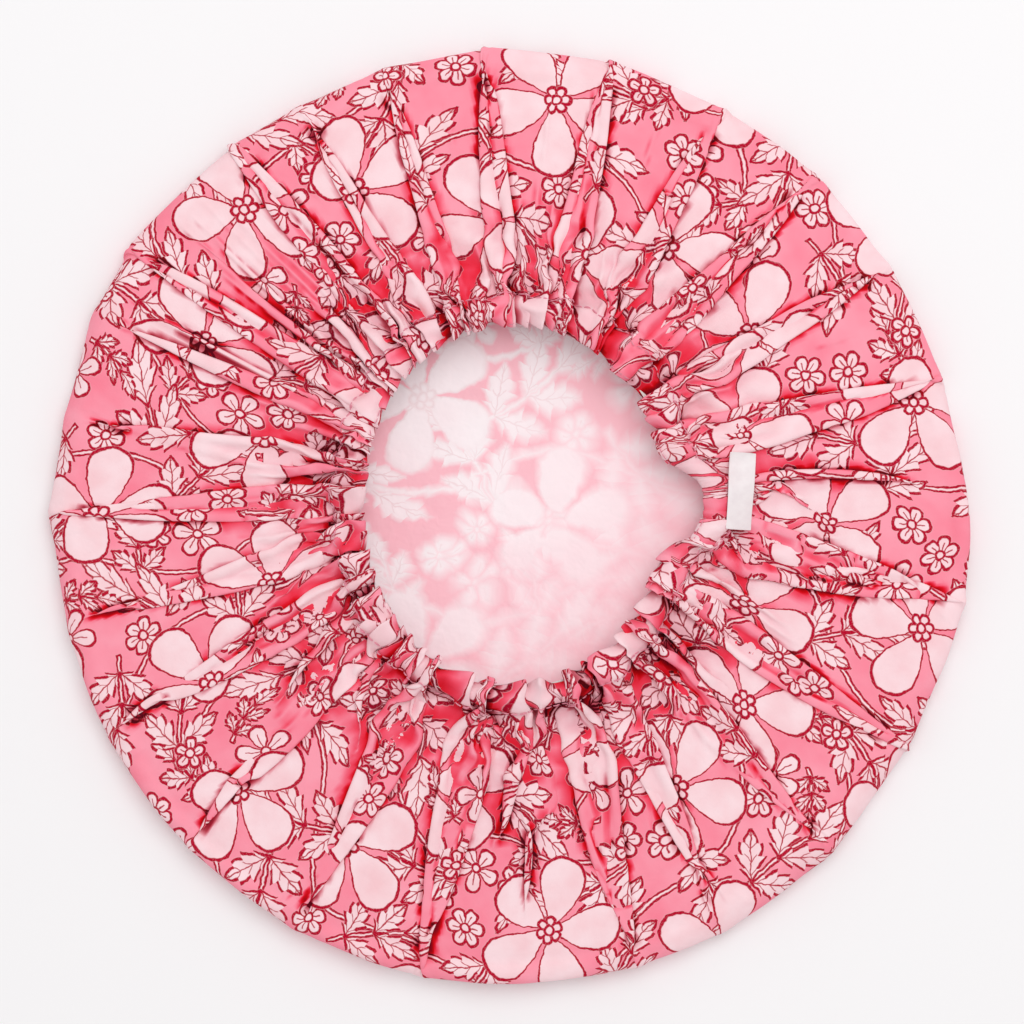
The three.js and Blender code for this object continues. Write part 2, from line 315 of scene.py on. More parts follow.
    def pull_hoops(self, rest, share):
        points, free, rest = self.points, self.free, rest[..., None]
        self.pull(points[:, 0::2], points[:, 1::2], free, free, rest[:, 0::2], share)
        after = np.roll(points[:, 0::2], -1, 1)
        self.pull(points[:, 1::2], after, free, free, rest[:, 1::2], share)
        points[:, 0::2] = np.roll(after, 1, 1)

    def row_pairs(self):
        """Every second row and the row after it, and then the others, with their first row and how free they are."""
        for first in (0, 1):
            above, free_above = self.points[first + 1 :: 2], self.free[first + 1 :: 2]
            below, free_below = (part[first:-1:2][: len(above)] for part in (self.points, self.free))
            yield first, below, above, free_below, free_above

    def pull_rows(self, share):
        for _, below, above, free_below, free_above in self.row_pairs():
            self.pull(below, above, free_below, free_above, self.step, share)

    def pull_diagonals(self, rest, share):
        for first, below, above, free_below, free_above in self.row_pairs():
            lengths = rest[first::2][: len(above), :, None]
            for shift in (-1, 1):
                turned = np.roll(above, -shift, 1)
                self.pull(below, turned, free_below, free_above, lengths, share)
                above[:] = np.roll(turned, shift, 1)

    def opening(self, apart, rest, share):
        """How far points that have come too close, as in a sharp fold, move apart."""
        length = lengths_of(apart)
        return 0.25 * share * np.minimum(length - rest, 0) / np.maximum(length, 1e-6) * apart

    def open_bends(self, rest, share, reach):
        """Keeps points that lie reach columns apart from folding sharply together."""
        move = self.opening(np.roll(self.points, -reach, 1) - self.points, rest[..., None], share)
        self.points += self.free * (move - np.roll(move, reach, 1))

    def open_rows(self, share, reach):
        move = self.opening(self.points[reach:] - self.points[:-reach], reach * self.step, share)
        self.points[:-reach] += self.free[:-reach] * move
        self.points[reach:] -= self.free[reach:] * move

    def filling_top(self, points, rise_from=0.85, rise_over=0.45, square=40):
        """The top of what fills the cap: nearly level, and rounded off at the rim."""
        x = points[..., 0] - self.FILLING_MIDDLE[0]
        y = points[..., 1] - self.FILLING_MIDDLE[1]
        out = np.minimum(np.hypot(x, y) / self.FILLING_RADIUS, 1)
        rise = np.clip((rise_from - out) / rise_over, 0, 1)
        level = self.FILLING[0] + (self.FILLING[1] - self.FILLING[0]) * rise
        return level * np.sqrt(1 - out**square)

    def press(self, start=0.1, end=0.2, fade=0.45, left=0.55):
        """The panels have been pressed: their layers lie close together, but for those beside the stitches."""
        top = self.filling_top(self.points)
        loose = np.maximum(smooth_step((self.way - end) / fade), 1 - smooth_step(self.way / start))
        kept = left + (1 - left) * loose
        z = self.points[..., 2]
        self.points[..., 2] = np.where(self.upper & (z > top), top + (z - top) * kept, z)

    def rest_on_things(self):
        """Nothing sinks into the table, the side lies on what fills the cap, and the rim keeps its round edge."""
        z = self.points[..., 2]
        np.maximum(z, self.TABLE, out=z)
        np.maximum(z, np.where(self.upper, self.filling_top(self.points), 0), out=z)
        z[self.rim] = np.maximum(z[self.rim], self.rim_low[self.rim])
        rim = self.points[self.rim][:, :2] - CUT_MIDDLE
        wider = np.maximum(1, self.rim_least[self.rim] / np.maximum(np.hypot(*rim.T), 1))
        self.points[self.rim, :2] = CUT_MIDDLE + rim * wider[:, None]

    def close_pairs(self, key, counts):
        """Pairs of points in the same cell of the grid or in cells side by side, each pair once."""
        held = np.bincount(key, minlength=math.prod(counts))
        first = np.concatenate([[0], np.cumsum(held)[:-1]])
        pairs = []
        for away in np.ndindex(3, 3, 3):
            dx, dy, dz = (step - 1 for step in away)
            if (dx, dy, dz) < (0, 0, 0):
                continue
            other = key + (dx * counts[1] + dy) * counts[2] + dz
            many = held[other]
            i = np.repeat(np.arange(len(key)), many)
            j = np.arange(len(i)) - np.repeat(np.cumsum(many) - many, many) + np.repeat(first[other], many)
            if (dx, dy, dz) == (0, 0, 0):
                i, j = i[j > i], j[j > i]
            pairs.append((i, j))
        return (np.concatenate(part) for part in zip(*pairs))

    def part_layers(self, gap, most=0.5, crowd=0.7, near=(3, 1), reach=165.0, tallest=40.0):
        """Pushes apart points of different layers that come closer than the gap. Cells of a grid find them.

        Points within near columns and rows of each other are of one layer. None moves more than the most at once,
        and less where many touch.
        """
        counts = [int(2 * reach / gap), int(2 * reach / gap), int(tallest / gap)]
        flat = self.points.reshape(-1, 3)
        loose = flat[self.loose]
        at = np.floor((loose + (reach, reach, gap)) / gap).astype(np.int64)
        at = np.clip(at, 1, np.array(counts) - 2)
        key = (at[:, 0] * counts[1] + at[:, 1]) * counts[2] + at[:, 2]
        order = np.argsort(key, kind="stable")
        key, spots = key[order], loose[order]
        rows, columns = self.row[order], self.column[order]
        i, j = self.close_pairs(key, counts)
        around = np.abs(columns[i] - columns[j])
        around = np.minimum(around, COLUMNS - around)
        apart = (around > near[0]) | (np.abs(rows[i] - rows[j]) > near[1])
        i, j = i[apart], j[apart]
        between = spots[j] - spots[i]
        square = np.einsum("ij,ij->i", between, between)
        close = square < gap * gap
        i, j, between = i[close], j[close], between[close]
        length = np.sqrt(square[close]) + 1e-9
        push = (0.5 * (gap - length) / length)[:, None] * between
        count = len(key)
        move = [np.bincount(j, push[:, a], count) - np.bincount(i, push[:, a], count) for a in range(3)]
        move = np.stack(move, -1)
        touching = np.bincount(i, minlength=count) + np.bincount(j, minlength=count)
        move /= np.maximum(touching, 1)[:, None] ** crowd
        size = np.linalg.norm(move, axis=1, keepdims=True)
        move *= np.minimum(1, most / np.maximum(size, 1e-9))
        back = np.zeros_like(move)
        back[order] = move
        flat[self.loose] += back * self.free.reshape(-1)[self.row][:, None]

    def gather(self, steps=150, grown_by=0.75, passes=12, pause=1 / 60, fall=-600.0, drag=0.9, fastest=60):
        """Lets the cloth grow to its cut length by a share of the steps, and fall and fold meanwhile."""
        for step in range(steps):
            grown = min(1, (step + 1) / (steps * grown_by))
            grown = grown * grown * (3 - 2 * grown)
            hoops = self.first_hoops + (self.full_hoops - self.first_hoops) * grown
            stitches = casing_curve(self.pleats, 0, grown=self.FIRST_PLEATS + (1 - self.FIRST_PLEATS) * grown)
            self.speed[..., 2] += fall * pause
            self.speed *= drag
            before = self.points.copy()
            self.points += self.speed * pause * self.free
            self.points[-1] = stitches
            diagonals = np.hypot(self.step, (hoops[:-1] + hoops[1:]) / 2)
            for turn in range(passes):
                self.pull_hoops(hoops, share=0.9)
                self.pull_rows(share=1.0)
                if turn % 2:
                    for reach, least, share in self.BENDS:
                        self.open_bends(reach * least * hoops, share, reach)
                    self.open_rows(share=0.3, reach=2)
                else:
                    self.pull_diagonals(diagonals, share=0.15)
                self.rest_on_things()
            over = np.maximum(self.points[..., 2] - self.lid, 0)
            self.points[..., 2] -= over / 2
            self.part_layers(self.LAYER_GAP)
            self.part_layers(self.LAYER_GAP)
            self.points[-1] = stitches
            self.speed = (self.points - before) / pause
            size = np.linalg.norm(self.speed, axis=2, keepdims=True)
            self.speed *= np.minimum(1, fastest / np.maximum(size, 1e-9))
        self.press()
        return self.points


def lengths_of(vectors):
    return np.sqrt(np.einsum("ijk,ijk->ij", vectors, vectors))[..., None]


cloth = Cloth(np.random.default_rng(5))
side = cloth.gather()


# From the simulated side to whole pieces: the crown inside it, the casing beyond it, and what they hold.
CASING_STEPS = 8
FILM_GAP = 0.7
COTTON_THICKNESS = 0.28
FILM_THICKNESS = 0.12
# How far the cotton and the film swell over and under the elastic, and where their edges end at the mouth.
COTTON_CASING = (2.6, 0.5)
FILM_CASING = (-1.7, -0.2)
# The painted shade beside the folds: from what depth it starts, how fast it fades and how far it reaches. It is full at
# another depth at each share of the way from the rim to the stitches.
SHADE_LEAST = 0.1
SHADE_FALL = 0.25
SHADE_REACH = 9
SHADE_WAYS = (0, 0.4, 0.7, 1)
SHADE_DEPTHS = (0.6, 0.9, 1.7, 4.2)
# The painted shadow in the slit where one fold's edge lies on the next panel.
EDGE_SHADOW_FALL = 0.2
EDGE_SHADOW_REACH = 1
EDGE_SHADOW_LEASTS = (0.22, 0.42, 1.1, 2.6)
EDGE_SHADOW_DEPTHS = (0.35, 0.45, 0.8, 1.6)
# Both grow from nothing over this share of the way. The depths are found on a grid of millimetres, this far out.
SHADE_START = 0.06
SHADE_HALF = 167
NOTHING = -99.0
# The crushed cloth: how far out from the mouth's edge it reaches, and the lengths and heights of its waves.
CRUMPLE_FULL = 22.0
CRUMPLE_FADE = 26.0
CRUMPLE_WAVES = ((17.0, 0.6), (11.0, 0.5), (7.0, 0.38), (4.6, 0.18))
# The elastic, and the lap where its end is sewn on its start.
ELASTIC_HEIGHT = 17.2
ELASTIC_WIDTH = 6.0
ELASTIC_THICKNESS = 1.0
ELASTIC_GAP = 0.15
LAP_ANGLE = 199 * DEG
LAP = 14.0
LAP_TURN = LAP / mouth_radius(LAP_ANGLE)


def crumple(points, start=-2, bottom=6, edge=6, calm=0.8, ways=3, bend=1.2, upward=0.8):
    """Crushes the gathered cloth beside the mouth into sharp little facets.

    It is a bend of the space round the folds, the same for every layer, so that no layer meets another. It starts
    beside the mouth's edge and over a bottom level, and is calmer at the label.
    """
    rng = np.random.default_rng(11)
    away = points[..., :2] - MOUTH_MIDDLE
    angle = np.arctan2(away[..., 1], away[..., 0])
    out = np.hypot(*np.moveaxis(away, -1, 0)) - mouth_radius(angle)
    share = smooth_step((out - start) / edge) * (1 - smooth_step((out - CRUMPLE_FULL) / CRUMPLE_FADE))
    share *= smooth_step((points[..., 2] - bottom) / edge) * (1 - calm * near_share(angle, LABEL_ANGLE, CALM_HALF))
    moved = points.copy()
    x, y = points[..., 0], points[..., 1]
    for wave_length, size in CRUMPLE_WAVES:
        for _ in range(ways):
            turn, phase, lean = rng.uniform(0, TURN, 3)
            bent = bend * np.sin(x / 7 + phase) + bend * np.sin(y / 8 - phase)
            across = x * math.cos(turn) + y * math.sin(turn) + bent
            zigzag = 1 - 4 * np.abs((across / wave_length + phase) % 1 - 0.5)
            moved += (size * zigzag * share)[..., None] * (math.cos(lean), math.sin(lean), upward)
    return moved


def shade_in_folds(points):
    """How far each point lies in the shade of the folds round it, and in the shadow of the slit under a fold's edge,
    from 0 to 1, for the painted shade in the cotton's colour.

    Every fold shades what lies beside it less and less, so that the shade is a cone under the fold's edge.
    """
    turned_up, rows = cloth.way > 0, len(side)
    ways, heights = cloth.way[turned_up], points[:rows][turned_up][:, 2]
    counts, edges = np.histogram(ways, 40)
    sums, _ = np.histogram(ways, edges, weights=heights)
    # Heights are compared over the usual height at the same share of the way.
    over = np.full(points.shape[:2], NOTHING)
    over[:rows][turned_up] = heights - np.interp(ways, (edges[:-1] + edges[1:]) / 2, sums / np.maximum(counts, 1))
    over[rows:] = points[rows:, :, 2] - points[rows:, :, 2].mean(axis=1, keepdims=True)
    over = over.ravel()
    at = np.clip(np.floor(points.reshape(-1, 3)[:, :2]).astype(int) + SHADE_HALF, 0, 2 * SHADE_HALF - 1)
    tops = np.full((2 * SHADE_HALF, 2 * SHADE_HALF), NOTHING)
    np.maximum.at(tops, (at[:, 0], at[:, 1]), over)

    def depth_under(reach, fall):
        highest = tops
        for _ in range(reach):
            for axis in (0, 1):
                beside = np.maximum(np.roll(highest, 1, axis), np.roll(highest, -1, axis))
                highest = np.maximum(highest, beside - fall)
        for axis in (0, 1):
            highest = (np.roll(highest, 1, axis) + 2 * highest + np.roll(highest, -1, axis)) / 4
        return (highest[at[:, 0], at[:, 1]] - over).reshape(points.shape[:2])

    shown = np.where(LAYER_WAYS > 0, smooth_step(LAYER_WAYS / SHADE_START), 0)
    full, least, edge_shadow_full = (np.interp(LAYER_WAYS, SHADE_WAYS, d) for d in (SHADE_DEPTHS, EDGE_SHADOW_LEASTS, EDGE_SHADOW_DEPTHS))
    shade = np.clip((depth_under(SHADE_REACH, SHADE_FALL) - SHADE_LEAST) / full, 0, 1) * shown
    edge_shadow = np.clip((depth_under(EDGE_SHADOW_REACH, EDGE_SHADOW_FALL) - least) / edge_shadow_full, 0, 1) * shown
    return shade, edge_shadow


def casing_rows(puff, split, inward=0.0):
    """Rows from just inside the stitches to the mouth's edge, over or under the elastic."""
    rows = []
    for share in np.arange(1, CASING_STEPS + 1) / CASING_STEPS:
        swell = math.sin(math.pi * share)
        lift = puff * swell**0.6 + split * share - inward
        rise = 1 - 0.3 * swell + 0.3 * share
        rows.append(casing_curve(cloth.pleats, CASING * share, lift=lift, rise=rise, over=swell))
    return np.array(rows)


def normals_of(grid):
    along = np.roll(grid, -1, 1) - np.roll(grid, 1, 1)
    across = np.gradient(grid, axis=0)
    normal = np.cross(along, across)
    return normal / np.maximum(np.linalg.norm(normal, axis=2, keepdims=True), 1e-9)


def soften(grid, passes):
    for _ in range(passes):
        grid = (np.roll(grid, 1, 1) + 2 * grid + np.roll(grid, -1, 1)) / 4
        grid[1:-1] = (grid[:-2] + 2 * grid[1:-1] + grid[2:]) / 4
    return grid


def add_object(name, data):
    thing = bpy.data.objects.new(name, data)
    bpy.context.collection.objects.link(thing)
    return thing


def new_piece(name, points, faces):
    mesh = bpy.data.meshes.new(name)
    mesh.from_pydata((np.asarray(points) * MM).tolist(), [], faces)
    mesh.validate()
    return add_object(name, mesh)


def strip_faces(rows, columns, first=0):
    """The faces between rows of points whose ends meet, with the points' numbers."""
    index = first + np.arange(rows * columns).reshape(rows, columns)
    quads = np.stack([index[:-1], index[1:], np.roll(index[1:], -1, 1), np.roll(index[:-1], -1, 1)], -1)
    return quads.reshape(-1, 4).tolist(), index.tolist()


def add_values(piece, name, values, kind="FLOAT", field="value"):
    """Keeps a value on each of the mesh's first points, and 0 on the rest."""
    wide = values.shape[1:]
    whole_mesh = np.zeros((len(piece.data.vertices), *wide), np.float32)
    whole_mesh[: len(values)] = values
    piece.data.attributes.new(name, kind, "POINT").data.foreach_set(field, whole_mesh.ravel())


def layer_piece(name, grid, rhos, turns, ways, crown_height):
    """A layer of cloth: rows by columns, closed over the crown by rings of fewer and fewer columns."""
    rows, columns, _ = grid.shape
    points = [grid.reshape(-1, 3)]
    flat = [np.stack([np.outer(rhos, np.cos(turns)).ravel(), np.outer(rhos, np.sin(turns)).ravel()], -1)]
    faces, index = strip_faces(rows, columns)
    ring, total, radius = index[0], rows * columns, rhos[0]
    while len(ring) > 7:
        # One ring in two halves the number of its columns.
        halved = len(flat) % 2 == 0
        radius *= RING_SHARE
        count = len(ring) // 2 if halved else len(ring)
        angles = turns[0] + TURN * np.arange(count) / count
        spots = radius * np.stack([np.cos(angles), np.sin(angles)], -1)
        flat.append(spots)
        spots = spots + CUT_MIDDLE
        points.append(np.column_stack([spots, crown_height(*spots.T)]))
        inner = list(range(total, total + count))
        total += count
        for k in range(count):
            now, after = inner[k], inner[(k + 1) % count]
            if halved:
                one, two, three = ring[2 * k], ring[2 * k + 1], ring[(2 * k + 2) % len(ring)]
                faces += [[now, one, two], [now, two, after], [after, two, three]]
            else:
                faces.append([now, ring[k], ring[(k + 1) % count], after])
        ring = inner
    faces.append(ring)
    piece = new_piece(name, np.concatenate(points), faces)
    flat = np.concatenate(flat)
    add_values(piece, "flat_cut", np.column_stack([flat, np.zeros(total)]), "FLOAT_VECTOR", "vector")
    add_values(piece, "lift_share", ways.ravel())
    return piece


def settle(piece, thickness=None, level=1):
    """Gives a piece its own thickness and a smooth surface, and applies both."""
    if thickness:
        solid = piece.modifiers.new("thickness", "SOLIDIFY")
        solid.thickness = thickness * MM
        solid.offset = 0
    smooth = piece.modifiers.new("smooth", "SUBSURF")
    smooth.levels = smooth.render_levels = level
    bpy.context.view_layer.update()
    graph = bpy.context.evaluated_depsgraph_get()
    mesh = bpy.data.meshes.new_from_object(piece.evaluated_get(graph), preserve_all_data_layers=True, depsgraph=graph)
    piece.modifiers.clear()
    old = piece.data
    piece.data = mesh
    bpy.data.meshes.remove(old)
    mesh.polygons.foreach_set("use_smooth", np.ones(len(mesh.polygons), bool))
    mesh.update()


def blend_by_share(piece):
    mesh = piece.data
    count = len(mesh.vertices)
    rest = np.empty(count * 3, np.float32)
    mesh.vertices.foreach_get("co", rest)
    share = np.empty(count, np.float32)
    mesh.attributes["lift_share"].data.foreach_get("value", share)
    raised = np.zeros((count, 3), np.float32)
    raised[:, 2] = share
    mesh.vertices.foreach_set("co", raised.ravel())
    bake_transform(piece)
    mesh.vertices.foreach_set("co", rest)
    mesh.update()


def wear(piece, material, body=None, replaces=()):
    piece.data.materials.clear()
    piece.data.materials.append(material)
    if body:
        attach(piece, body)
    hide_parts(*replaces)


# How much narrower each ring over the crown is than the one round it.
RING_SHARE = 0.88
# How far each point of a layer moves with the mouth, which is all the way from this share of the way on.
MOVES_ALL = 0.88
LAYER_WAYS = np.concatenate([np.clip(cloth.way / MOVES_ALL, 0, 1), np.ones((CASING_STEPS, COLUMNS))])
LAYER_RHOS = np.concatenate([cloth.rho, STITCH_RHO + CASING * np.arange(1, CASING_STEPS + 1) / CASING_STEPS])

# The loose film over the crown: how high it lies at the least, how much higher at the front right, and its waves.
FILM_LEVEL = 3.5
FILM_RISE = 4.5
FILM_WAVES = 0.4


def crown_on_table(x, y):
    return np.full_like(x, Cloth.TABLE)


def film_height(x, y):
    """The lining lies loose over the crown: close to it at the back left, and standing off it at the front right."""
    way = smooth_step((0.75 * x - 0.66 * y + 38) / 95)
    waves = 0.35 * np.sin(x / 13 + y / 23) + 0.3 * np.sin(y / 11 - x / 29 + 1)
    return Cloth.TABLE + FILM_LEVEL + FILM_RISE * way + waves * (FILM_WAVES + way)


whole = crumple(np.concatenate([side, casing_rows(*COTTON_CASING)]))


def make_shell(material):
    shell = layer_piece("cotton_shell", whole, LAYER_RHOS, cloth.around, LAYER_WAYS, crown_on_table)
    # The painted shade of the folds and the painted shadow at the folds' edges, kept on the shell for its colour.
    for name, share in zip(("fold_shade", "fold_edge_shadow"), shade_in_folds(whole)):
        add_values(shell, name, share.ravel())
    settle(shell, COTTON_THICKNESS)
    wear(shell, material, replaces=["outer_shell"])
    blend_by_share(shell)


def lowest_around(points, cell=2.0, half=86):
    """How low the cloth comes over each cell of a grid and its neighbours, read at the same points."""
    at = np.clip(((points[:, :2] / cell) + half).astype(int), 1, 2 * half - 2)
    low = np.full((2 * half, 2 * half), 99.0)
    np.minimum.at(low, (at[:, 0], at[:, 1]), points[:, 2])
    padded = np.pad(low, 1, constant_values=99.0)
    near = [padded[i : i + 2 * half, j : j + 2 * half] for i in range(3) for j in range(3)]
    return np.min(near, axis=0)[at[:, 0], at[:, 1]]


def make_liner(material, step=2, ease=12, off_table=0.5):
    """The film follows the shell's inner side under its lowest layer, and lies in its own way over the crown.

    It takes every step-th column, and goes over from the one to the other on its ease in from the pinned row.
    """
    inside = side - FILM_GAP * normals_of(soften(side.copy(), 2))
    upper = cloth.upper
    least = lowest_around(side[upper]) - FILM_GAP
    inside[upper, 2] = np.minimum(inside[upper, 2], least)
    inside = soften(inside, 1)[:, ::step]
    over_crown = film_height(inside[..., 0], inside[..., 1])
    share = smooth_step((cloth.rho - PINNED_RHO) / ease)[:, None]
    inside[..., 2] = over_crown * (1 - share) + np.maximum(inside[..., 2], Cloth.TABLE + off_table) * share
    under = casing_rows(*FILM_CASING, inward=FILM_GAP)[:, ::step]
    grid = crumple(np.concatenate([inside, under]))
    liner = layer_piece("film_liner", grid, LAYER_RHOS, cloth.around[::step], LAYER_WAYS[:, ::step], film_height)
    settle(liner, FILM_THICKNESS)
    wear(liner, material, replaces=["waterproof_liner"])
    blend_by_share(liner)


def ring_at(angle, distance, height):
    """A point of the mouth's ring, at a distance in from the stitches."""
    return round_about(MOUTH_MIDDLE, mouth_radius(angle) + CASING - distance, angle, height)


def make_elastic(material):
    """A flat band, once round from its lap and over its own start again."""
    turns = np.arange(0, TURN + LAP_TURN, TURN / 480)
    climb = np.clip((turns - TURN + LAP_TURN * 0.8) / (LAP_TURN * 0.6), 0, 1)
    rise = climb * (ELASTIC_THICKNESS + ELASTIC_GAP)
    section = []
    for across, up in ((-1, -0.7), (-0.9, -1), (0.9, -1), (1, -0.7), (1, 0.7), (0.9, 1), (-0.9, 1), (-1, 0.7)):
        distance = CASING / 2 + across * ELASTIC_WIDTH / 2
        height = ELASTIC_HEIGHT + rise + up * ELASTIC_THICKNESS / 2
        section.append(ring_at(turns + LAP_ANGLE, distance, height))
    wear(loft_piece("elastic", np.stack(section, 1)), material, "mouth", ["elastic_band"])


def loft_piece(name, sections):
    """A closed strip or tube through sections of equal length."""
    faces, index = strip_faces(*sections.shape[:2])
    piece = new_piece(name, sections.reshape(-1, 3), faces + [index[0], index[-1][::-1]])
    bpy.context.view_layer.update()
    return piece


# A stitch: its length and the gap after it, and how far along it is how thick and how high.
STITCH = (2.3, 0.7)
STITCH_SHAPE = ((0, 0.35, -0.5), (0.12, 0.8, 0.0), (0.5, 1, 0.3), (0.88, 0.8, 0.0), (1, 0.35, -0.5))
STITCH_SIDES = 6


def unit(vector):
    return vector / max(np.linalg.norm(vector), 1e-9)


def stitches_piece(name, path, up, radius, stitch=STITCH, closed=True):
    """A row of sewing: short plump lengths of thread along a path, each a little sunk at its ends."""
    if closed:
        path, up = np.concatenate([path, path[:1]]), np.concatenate([up, up[:1]])
    spans = np.linalg.norm(np.diff(path, axis=0), axis=1)
    reach = np.concatenate([[0], np.cumsum(spans)])
    count = max(1, int(reach[-1] / sum(stitch)))
    pitch = reach[-1] / count
    turns = -TURN * np.arange(STITCH_SIDES)[:, None] / STITCH_SIDES
    points, faces = [], []
    for k in range(count):
        ways = pitch * k + np.array([way for way, _, _ in STITCH_SHAPE]) * (pitch - stitch[1])
        spots = np.stack([np.interp(ways, reach, path[:, axis]) for axis in range(3)], -1)
        over = unit(np.array([np.interp(pitch * (k + 0.5), reach, up[:, axis]) for axis in range(3)]))
        beside = unit(np.cross(over, unit(spots[-1] - spots[0])))
        strip, index = strip_faces(len(STITCH_SHAPE), STITCH_SIDES, len(points))
        for spot, (_, size, height) in zip(spots, STITCH_SHAPE):
            out = beside * np.cos(turns) + over * np.sin(turns)
            points.extend(spot + out * radius * size + over * height * radius)
        faces += strip + [index[0], index[-1][::-1]]
    piece = new_piece(name, points, faces)
    piece.data.polygons.foreach_set("use_smooth", np.ones(len(piece.data.polygons), bool))
    return piece


def make_threads(material):
    """The rows of stitches on the cotton, on the film and inside the casing, and the zigzag on the elastic's lap."""
    normals = normals_of(whole)
    for name, row, off, way, radius, node in (
        ("needle_stitches", len(side) - 1, 0.3, 1, 0.26, "casing_needle_thread"),
        ("bobbin_stitches", len(side) - 1, FILM_GAP + 0.25, -1, 0.22, "casing_bobbin_thread"),
        ("seam_stitches", -2, 0.45, -1, 0.18, "mouth_seam_thread"),
    ):
        out = way * normals[row]
        wear(stitches_piece(name, whole[row] + off * out, out, radius), material, "mouth", [node])
    corners = 13
    turns = LAP_ANGLE + LAP_TURN * np.linspace(0.1, 0.9, corners)
    sideways = CASING / 2 + 1.8 * np.where(np.arange(corners) % 2, 1.0, -1.0)
    top = np.full(corners, ELASTIC_HEIGHT + 1.5 * ELASTIC_THICKNESS + ELASTIC_GAP + 0.2)
    upward = np.tile([0.0, 0.0, 1.0], (corners, 1))
    zigzag = ring_at(turns, sideways, top)
    join = stitches_piece("elastic_join_stitches", zigzag, upward, 0.2, (3.4, 0.2), closed=False)
    wear(join, material, "mouth", ["elastic_join_thread"])


# Materials are written as sums of wires, so that a motif of the print reads as a formula.
def feed(tree, slot, value):
    if isinstance(value, Wire):
        tree.links.new(value.socket, slot)
    else:
        slot.default_value = value


def wire_from(tree, node, inputs, output=0):
    """Feeds a node's inputs, by name or number, and is the wire from one of its outputs."""
    for name, value in inputs.items():
        feed(tree, node.inputs[name], value)
    return Wire(tree, node.outputs[output])


def calculate(tree, kind, operation, *values, output=0):
    node = tree.nodes.new(kind)
    node.operation = operation
    return wire_from(tree, node, dict(enumerate(values)), output)


def vector_math(tree, operation, *values, output=0):
    return calculate(tree, "ShaderNodeVectorMath", operation, *values, output=output)


class Wire:
    """A socket of a node tree that adds, multiplies and compares like a number."""

    def __init__(self, tree, socket):
        self.tree = tree
        self.socket = socket

    def math(self, operation, *others):
        return calculate(self.tree, "ShaderNodeMath", operation, self, *others)

    def __add__(self, other):
        return self.math("ADD", other)

    __radd__ = __add__

    def __mul__(self, other):
        return self.math("MULTIPLY", other)

    def __sub__(self, other):
        return self.math("SUBTRACT", other)

    def __rsub__(self, other):
        return (self * -1) + other

    def __truediv__(self, other):
        return self.math("DIVIDE", other)

    def __rtruediv__(self, other):
        return calculate(self.tree, "ShaderNodeMath", "DIVIDE", other, self)

    def __abs__(self):
        return self.math("ABSOLUTE")

    def ramp(self, low, high, start=0.0, end=1.0):
        names = ("Value", "From Min", "From Max", "To Min", "To Max")
        node = self.tree.nodes.new("ShaderNodeMapRange")
        return wire_from(self.tree, node, dict(zip(names, (self, low, high, start, end))))

    def under(self, level, soft):
        """1 where the value is below a level, with a soft edge."""
        return self.ramp(level - soft, level + soft, 1.0, 0.0)

    def near(self, width, soft):
        """1 where the value is within half a width of zero, and fainter where it is blurred wider than that."""
        line = abs(self).under(width / 2, soft)
        return line if isinstance(soft, float) else line * (0.4 / (soft + 0.3)).math("MINIMUM", 1.0)


def join_xy(tree, x, y):
    return wire_from(tree, tree.nodes.new("ShaderNodeCombineXYZ"), {0: x, 1: y})


def split_xy(wire):
    node = wire.tree.nodes.new("ShaderNodeSeparateXYZ")
    return wire_from(wire.tree, node, {0: wire}), Wire(wire.tree, node.outputs[1])


def length_of(tree, x, y):
    return vector_math(tree, "LENGTH", join_xy(tree, x, y), output=1)


def turned(wire, angle):
    node = wire.tree.nodes.new("ShaderNodeVectorRotate")
    node.rotation_type = "Z_AXIS"
    return wire_from(wire.tree, node, {"Vector": wire, "Angle": angle})


def attribute(tree, name, output="Vector"):
    node = tree.nodes.new("ShaderNodeAttribute")
    node.attribute_name = name
    return Wire(tree, node.outputs[output])


def object_place(tree):
    return Wire(tree, tree.nodes.new("ShaderNodeTexCoord").outputs["Object"])


def noise(tree, vector, scale, detail=2.0, roughness=0.5, output="Fac"):
    inputs = {"Vector": vector, "Scale": scale, "Detail": detail, "Roughness": roughness}
    return wire_from(tree, tree.nodes.new("ShaderNodeTexNoise"), inputs, output)


def bump(tree, height, distance, strength=1.0):
    inputs = {"Strength": strength, "Distance": distance, "Height": height}
    return wire_from(tree, tree.nodes.new("ShaderNodeBump"), inputs)


def blend_colours(tree, share, low, high):
    node = tree.nodes.new("ShaderNodeMix")
    node.data_type = "RGBA"
    return wire_from(tree, node, {0: share, 6: low, 7: high}, 2)


def blend_values(tree, share, low, high):
    return wire_from(tree, tree.nodes.new("ShaderNodeMix"), {0: share, 2: low, 3: high})


def srgb(red, green, blue):
    """A colour as seen on screen, from 0 to 255, as the linear colour that a shader takes."""
    parts = [value / 255 for value in (red, green, blue)]
    return tuple(p / 12.92 if p <= 0.04045 else ((p + 0.055) / 1.055) ** 2.4 for p in parts) + (1.0,)


GROUND = srgb(255, 160, 178)
GROUND_DEEP = srgb(252, 130, 152)
PETAL = srgb(254, 222, 227)
PETAL_DEEP = srgb(250, 203, 209)
OUTLINE = srgb(184, 0, 42)
# Painted shade in a fold: the power and the loss for the ground, and what petals and outlines turn to.
FOLD_BOUNCES = 2.6
FOLD_LOSS = 0.2
PETAL_IN_SHADE = srgb(243, 184, 194)
OUTLINE_IN_SHADE = srgb(128, 0, 30)
# Painted shadow in the slit under a fold's edge: the power for the whole print, and the colour that it is then mixed
# with.
EDGE_SHADOW_BOUNCES = 4.0
EDGE_SHADOW = srgb(120, 0, 28)
EDGE_SHADOW_SHARE = 0.65
